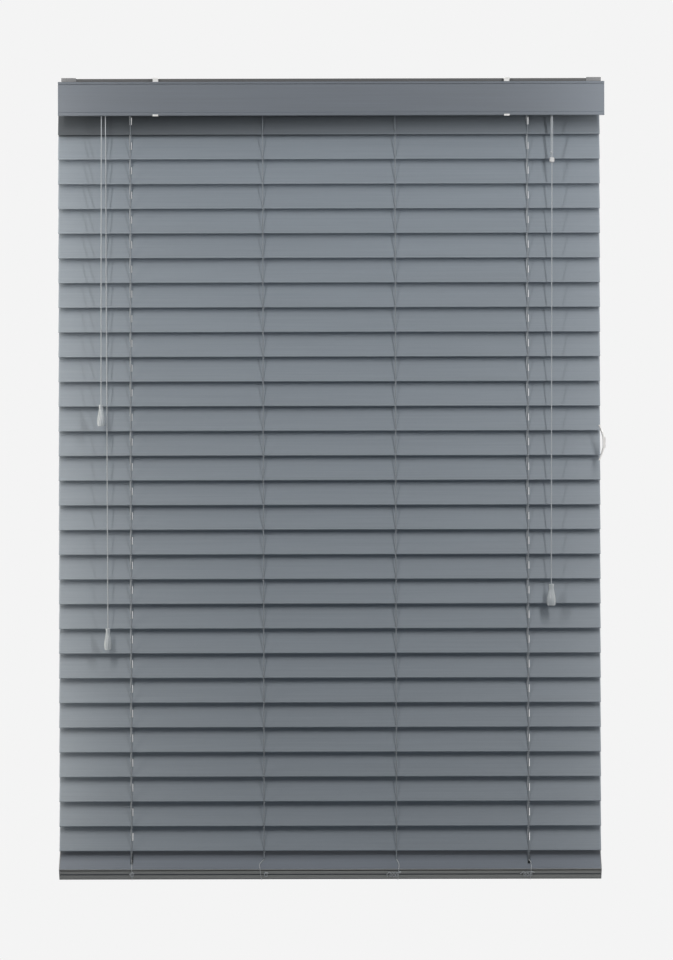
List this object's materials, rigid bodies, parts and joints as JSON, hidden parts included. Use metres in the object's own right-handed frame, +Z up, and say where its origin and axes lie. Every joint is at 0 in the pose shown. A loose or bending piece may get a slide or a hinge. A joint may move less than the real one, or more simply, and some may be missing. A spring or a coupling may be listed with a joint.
{
  "type": "venetian blind",
  "caption": "Venetian blind with routed faux-wood slats on cord ladders, headrail in box brackets, valance, bottom rail, cord tilter, cord lock, tassels and wall cleat.",
  "frame": {"origin": "centre of the box brackets' top faces, midway between the left and right brackets, at the middle of the top screw pattern", "axes": "+X along the headrail, from the tilter to the cord lock; +Y towards the window, -Y towards the room; +Z up"},
  "size_m": [0.9275, 0.0825, 1.3621],
  "materials": {
    "slat_plastic": "satin slate grey",
    "cap_plastic": "satin grey",
    "headrail_steel": "satin grey paint",
    "bracket_steel": "satin grey paint",
    "clip_plastic": "glossy white",
    "ladder_cord": "woven grey",
    "lift_cord": "braided grey",
    "rod_steel": "galvanised",
    "white_nylon": "moulded white",
    "lock_steel": "plated",
    "pawl_brass": "plain",
    "tassel_plastic": "glossy light grey",
    "cleat_plastic": "glossy white"
  },
  "bodies": {
    "fixed": {"headrail": "headrail_steel", "box_bracket_left": "bracket_steel", "box_bracket_right": "bracket_steel", "bracket_gates": "bracket_steel", "valance": "slat_plastic", "valance_clips": "clip_plastic", "ladder_rungs": "ladder_cord", "ladder_ends": "ladder_cord", "drum_cradles": "white_nylon", "tilter_housing": "white_nylon", "cord_lock_body": "lock_steel", "lift_cords": "lift_cord", "cord_connector": "tassel_plastic", "lift_tassel": "tassel_plastic", "lift_pull_cord": "lift_cord", "tilt_cord_short": "lift_cord", "tilt_cord_long": "lift_cord", "cord_cleat": "cleat_plastic"},
    "rod": {"tilt_rod": "rod_steel", "tilt_gear": "white_nylon", "ladder_drums": "white_nylon"},
    "worm": {"worm_and_pulley": "white_nylon"},
    "slat_01": {"slat_01": "slat_plastic"},
    "slat_02": {"slat_02": "slat_plastic"},
    "slat_03": {"slat_03": "slat_plastic"},
    "slat_04": {"slat_04": "slat_plastic"},
    "slat_05": {"slat_05": "slat_plastic"},
    "slat_06": {"slat_06": "slat_plastic"},
    "slat_07": {"slat_07": "slat_plastic"},
    "slat_08": {"slat_08": "slat_plastic"},
    "slat_09": {"slat_09": "slat_plastic"},
    "slat_10": {"slat_10": "slat_plastic"},
    "slat_11": {"slat_11": "slat_plastic"},
    "slat_12": {"slat_12": "slat_plastic"},
    "slat_13": {"slat_13": "slat_plastic"},
    "slat_14": {"slat_14": "slat_plastic"},
    "slat_15": {"slat_15": "slat_plastic"},
    "slat_16": {"slat_16": "slat_plastic"},
    "slat_17": {"slat_17": "slat_plastic"},
    "slat_18": {"slat_18": "slat_plastic"},
    "slat_19": {"slat_19": "slat_plastic"},
    "slat_20": {"slat_20": "slat_plastic"},
    "slat_21": {"slat_21": "slat_plastic"},
    "slat_22": {"slat_22": "slat_plastic"},
    "slat_23": {"slat_23": "slat_plastic"},
    "slat_24": {"slat_24": "slat_plastic"},
    "slat_25": {"slat_25": "slat_plastic"},
    "slat_26": {"slat_26": "slat_plastic"},
    "slat_27": {"slat_27": "slat_plastic"},
    "slat_28": {"slat_28": "slat_plastic"},
    "slat_29": {"slat_29": "slat_plastic"},
    "slat_30": {"slat_30": "slat_plastic"},
    "front_strings": {"ladder_front_strings": "ladder_cord"},
    "back_strings": {"ladder_back_strings": "ladder_cord"},
    "rail": {"bottom_rail": "slat_plastic", "rail_end_caps": "cap_plastic", "rail_plugs": "cap_plastic"},
    "short_tassel": {"tilt_tassel_short": "tassel_plastic"},
    "long_tassel": {"tilt_tassel_long": "tassel_plastic"},
    "pawl": {"cord_lock_pawl": "pawl_brass"}
  },
  "joints": [
    {"name": "slat_01_tilt", "type": "hinge", "parent": "fixed", "child": "slat_01", "pos_m": [0, 0, -0.0715], "axis": [1, 0, 0], "range_deg": [-140, 0], "deforming": ["ladder_rungs", "ladder_ends", "tilt_cord_short", "tilt_cord_long"]},
    {"name": "slat_02_tilt", "type": "hinge", "parent": "fixed", "child": "slat_02", "pos_m": [0, 0, -0.1135], "axis": [1, 0, 0], "range_deg": [-140, 0]},
    {"name": "slat_03_tilt", "type": "hinge", "parent": "fixed", "child": "slat_03", "pos_m": [0, 0, -0.1555], "axis": [1, 0, 0], "range_deg": [-140, 0]},
    {"name": "slat_04_tilt", "type": "hinge", "parent": "fixed", "child": "slat_04", "pos_m": [0, 0, -0.1975], "axis": [1, 0, 0], "range_deg": [-140, 0]},
    {"name": "slat_05_tilt", "type": "hinge", "parent": "fixed", "child": "slat_05", "pos_m": [0, 0, -0.2395], "axis": [1, 0, 0], "range_deg": [-140, 0]},
    {"name": "slat_06_tilt", "type": "hinge", "parent": "fixed", "child": "slat_06", "pos_m": [0, 0, -0.2815], "axis": [1, 0, 0], "range_deg": [-140, 0]},
    {"name": "slat_07_tilt", "type": "hinge", "parent": "fixed", "child": "slat_07", "pos_m": [0, 0, -0.3235], "axis": [1, 0, 0], "range_deg": [-140, 0]},
    {"name": "slat_08_tilt", "type": "hinge", "parent": "fixed", "child": "slat_08", "pos_m": [0, 0, -0.3655], "axis": [1, 0, 0], "range_deg": [-140, 0]},
    {"name": "slat_09_tilt", "type": "hinge", "parent": "fixed", "child": "slat_09", "pos_m": [0, 0, -0.4075], "axis": [1, 0, 0], "range_deg": [-140, 0]},
    {"name": "slat_10_tilt", "type": "hinge", "parent": "fixed", "child": "slat_10", "pos_m": [0, 0, -0.4495], "axis": [1, 0, 0], "range_deg": [-140, 0]},
    {"name": "slat_11_tilt", "type": "hinge", "parent": "fixed", "child": "slat_11", "pos_m": [0, 0, -0.4915], "axis": [1, 0, 0], "range_deg": [-140, 0]},
    {"name": "slat_12_tilt", "type": "hinge", "parent": "fixed", "child": "slat_12", "pos_m": [0, 0, -0.5335], "axis": [1, 0, 0], "range_deg": [-140, 0]},
    {"name": "slat_13_tilt", "type": "hinge", "parent": "fixed", "child": "slat_13", "pos_m": [0, 0, -0.5755], "axis": [1, 0, 0], "range_deg": [-140, 0]},
    {"name": "slat_14_tilt", "type": "hinge", "parent": "fixed", "child": "slat_14", "pos_m": [0, 0, -0.6175], "axis": [1, 0, 0], "range_deg": [-140, 0]},
    {"name": "slat_15_tilt", "type": "hinge", "parent": "fixed", "child": "slat_15", "pos_m": [0, 0, -0.6595], "axis": [1, 0, 0], "range_deg": [-140, 0]},
    {"name": "slat_16_tilt", "type": "hinge", "parent": "fixed", "child": "slat_16", "pos_m": [0, 0, -0.7015], "axis": [1, 0, 0], "range_deg": [-140, 0]},
    {"name": "slat_17_tilt", "type": "hinge", "parent": "fixed", "child": "slat_17", "pos_m": [0, 0, -0.7435], "axis": [1, 0, 0], "range_deg": [-140, 0]},
    {"name": "slat_18_tilt", "type": "hinge", "parent": "fixed", "child": "slat_18", "pos_m": [0, 0, -0.7855], "axis": [1, 0, 0], "range_deg": [-140, 0]},
    {"name": "slat_19_tilt", "type": "hinge", "parent": "fixed", "child": "slat_19", "pos_m": [0, 0, -0.8275], "axis": [1, 0, 0], "range_deg": [-140, 0]},
    {"name": "slat_20_tilt", "type": "hinge", "parent": "fixed", "child": "slat_20", "pos_m": [0, 0, -0.8695], "axis": [1, 0, 0], "range_deg": [-140, 0]},
    {"name": "slat_21_tilt", "type": "hinge", "parent": "fixed", "child": "slat_21", "pos_m": [0, 0, -0.9115], "axis": [1, 0, 0], "range_deg": [-140, 0]},
    {"name": "slat_22_tilt", "type": "hinge", "parent": "fixed", "child": "slat_22", "pos_m": [0, 0, -0.9535], "axis": [1, 0, 0], "range_deg": [-140, 0]},
    {"name": "slat_23_tilt", "type": "hinge", "parent": "fixed", "child": "slat_23", "pos_m": [0, 0, -0.9955], "axis": [1, 0, 0], "range_deg": [-140, 0]},
    {"name": "slat_24_tilt", "type": "hinge", "parent": "fixed", "child": "slat_24", "pos_m": [0, 0, -1.0375], "axis": [1, 0, 0], "range_deg": [-140, 0]},
    {"name": "slat_25_tilt", "type": "hinge", "parent": "fixed", "child": "slat_25", "pos_m": [0, 0, -1.0795], "axis": [1, 0, 0], "range_deg": [-140, 0]},
    {"name": "slat_26_tilt", "type": "hinge", "parent": "fixed", "child": "slat_26", "pos_m": [0, 0, -1.1215], "axis": [1, 0, 0], "range_deg": [-140, 0]},
    {"name": "slat_27_tilt", "type": "hinge", "parent": "fixed", "child": "slat_27", "pos_m": [0, 0, -1.1635], "axis": [1, 0, 0], "range_deg": [-140, 0]},
    {"name": "slat_28_tilt", "type": "hinge", "parent": "fixed", "child": "slat_28", "pos_m": [0, 0, -1.2055], "axis": [1, 0, 0], "range_deg": [-140, 0]},
    {"name": "slat_29_tilt", "type": "hinge", "parent": "fixed", "child": "slat_29", "pos_m": [0, 0, -1.2475], "axis": [1, 0, 0], "range_deg": [-140, 0]},
    {"name": "slat_30_tilt", "type": "hinge", "parent": "fixed", "child": "slat_30", "pos_m": [0, 0, -1.2895], "axis": [1, 0, 0], "range_deg": [-140, 0]},
    {"name": "tilt_rod_turn", "type": "hinge", "parent": "fixed", "child": "rod", "pos_m": [0, 0, -0.0194], "axis": [1, 0, 0], "range_deg": [-269.3, 0]},
    {"name": "tilt_worm_turn", "type": "hinge", "parent": "fixed", "child": "worm", "pos_m": [-0.386, 0, -0.033], "axis": [0, 1, 0], "range_deg": [-6461, 0]},
    {"name": "front_strings_swing", "type": "hinge", "parent": "slat_01", "child": "front_strings", "pos_m": [0, -0.01026, -0.09969], "axis": [1, 0, 0], "range_deg": [0, 140]},
    {"name": "back_strings_swing", "type": "hinge", "parent": "slat_01", "child": "back_strings", "pos_m": [0, 0.01026, -0.04331], "axis": [1, 0, 0], "range_deg": [0, 140]},
    {"name": "bottom_rail_tilt", "type": "hinge", "parent": "fixed", "child": "rail", "pos_m": [0, 0, -1.3359], "axis": [1, 0, 0], "range_deg": [-80, 0]},
    {"name": "short_tassel_travel", "type": "slide", "parent": "fixed", "child": "short_tassel", "axis": [0, 0, 1], "range_m": [-0.379, 0]},
    {"name": "long_tassel_travel", "type": "slide", "parent": "fixed", "child": "long_tassel", "axis": [0, 0, 1], "range_m": [0, 0.379]},
    {"name": "cord_lock_pawl_swing", "type": "hinge", "parent": "fixed", "child": "pawl", "pos_m": [0.374, -0.017, -0.02875], "axis": [1, 0, 0], "range_deg": [-30, 0]}
  ],
  "couplings": [
    {"joint": "slat_02_tilt", "follows": "slat_01_tilt", "ratio": 1},
    {"joint": "slat_03_tilt", "follows": "slat_01_tilt", "ratio": 1},
    {"joint": "slat_04_tilt", "follows": "slat_01_tilt", "ratio": 1},
    {"joint": "slat_05_tilt", "follows": "slat_01_tilt", "ratio": 1},
    {"joint": "slat_06_tilt", "follows": "slat_01_tilt", "ratio": 1},
    {"joint": "slat_07_tilt", "follows": "slat_01_tilt", "ratio": 1},
    {"joint": "slat_08_tilt", "follows": "slat_01_tilt", "ratio": 1},
    {"joint": "slat_09_tilt", "follows": "slat_01_tilt", "ratio": 1},
    {"joint": "slat_10_tilt", "follows": "slat_01_tilt", "ratio": 1},
    {"joint": "slat_11_tilt", "follows": "slat_01_tilt", "ratio": 1},
    {"joint": "slat_12_tilt", "follows": "slat_01_tilt", "ratio": 1},
    {"joint": "slat_13_tilt", "follows": "slat_01_tilt", "ratio": 1},
    {"joint": "slat_14_tilt", "follows": "slat_01_tilt", "ratio": 1},
    {"joint": "slat_15_tilt", "follows": "slat_01_tilt", "ratio": 1},
    {"joint": "slat_16_tilt", "follows": "slat_01_tilt", "ratio": 1},
    {"joint": "slat_17_tilt", "follows": "slat_01_tilt", "ratio": 1},
    {"joint": "slat_18_tilt", "follows": "slat_01_tilt", "ratio": 1},
    {"joint": "slat_19_tilt", "follows": "slat_01_tilt", "ratio": 1},
    {"joint": "slat_20_tilt", "follows": "slat_01_tilt", "ratio": 1},
    {"joint": "slat_21_tilt", "follows": "slat_01_tilt", "ratio": 1},
    {"joint": "slat_22_tilt", "follows": "slat_01_tilt", "ratio": 1},
    {"joint": "slat_23_tilt", "follows": "slat_01_tilt", "ratio": 1},
    {"joint": "slat_24_tilt", "follows": "slat_01_tilt", "ratio": 1},
    {"joint": "slat_25_tilt", "follows": "slat_01_tilt", "ratio": 1},
    {"joint": "slat_26_tilt", "follows": "slat_01_tilt", "ratio": 1},
    {"joint": "slat_27_tilt", "follows": "slat_01_tilt", "ratio": 1},
    {"joint": "slat_28_tilt", "follows": "slat_01_tilt", "ratio": 1},
    {"joint": "slat_29_tilt", "follows": "slat_01_tilt", "ratio": 1},
    {"joint": "slat_30_tilt", "follows": "slat_01_tilt", "ratio": 1},
    {"joint": "tilt_rod_turn", "follows": "slat_01_tilt", "ratio": 1.9229},
    {"joint": "tilt_worm_turn", "follows": "slat_01_tilt", "ratio": 46.149},
    {"joint": "front_strings_swing", "follows": "slat_01_tilt", "ratio": -1},
    {"joint": "back_strings_swing", "follows": "slat_01_tilt", "ratio": -1},
    {"joint": "bottom_rail_tilt", "follows": "slat_01_tilt", "ratio": 0.57143},
    {"joint": "short_tassel_travel", "follows": "slat_01_tilt", "m_per_rad": 0.15506},
    {"joint": "long_tassel_travel", "follows": "slat_01_tilt", "m_per_rad": -0.15506}
  ]
}
